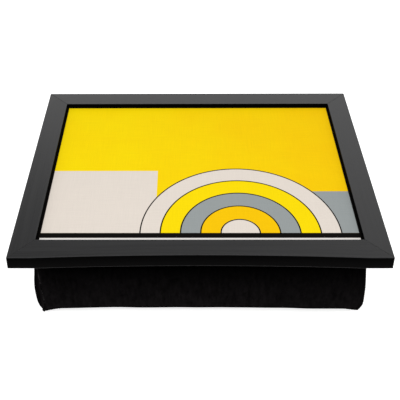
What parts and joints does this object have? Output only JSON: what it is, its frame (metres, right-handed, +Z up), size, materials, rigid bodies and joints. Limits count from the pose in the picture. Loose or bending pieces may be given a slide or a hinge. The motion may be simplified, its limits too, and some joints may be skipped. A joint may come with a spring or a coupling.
{
  "type": "lap tray",
  "caption": "Breakfast lap tray: a flat mitred picture frame round a recessed printed panel, standing on a bead-filled fabric cushion.",
  "frame": {"origin": "on the table, under the middle of the tray", "axes": "+X along the tray's long side, to the right as the user sits at it; +Y from the user towards the far rail; +Z up"},
  "size_m": [0.43, 0.33, 0.117],
  "materials": {
    "frame": "satin",
    "print": "satin",
    "fibreboard": "matte",
    "hardboard": "matte",
    "cushion_fabric": "matte",
    "beads": "matte",
    "steel": "satin"
  },
  "bodies": {
    "root": {"rail_front": "frame", "rail_right": "frame", "rail_back": "frame", "rail_left": "frame", "v_nail_front_left_1": "steel", "v_nail_front_left_2": "steel", "v_nail_front_right_1": "steel", "v_nail_front_right_2": "steel", "v_nail_back_right_1": "steel", "v_nail_back_right_2": "steel", "v_nail_back_left_1": "steel", "v_nail_back_left_2": "steel", "laminated_print": "print", "tray_board": "fibreboard", "cushion_cover": "cushion_fabric", "cushion_board": "hardboard", "staple_front_1": "steel", "staple_front_2": "steel", "staple_front_3": "steel", "staple_front_4": "steel", "staple_right_1": "steel", "staple_right_2": "steel", "staple_right_3": "steel", "staple_back_1": "steel", "staple_back_2": "steel", "staple_back_3": "steel", "staple_back_4": "steel", "staple_left_1": "steel", "staple_left_2": "steel", "staple_left_3": "steel", "bead_fill": "beads"}
  },
  "joints": []
}
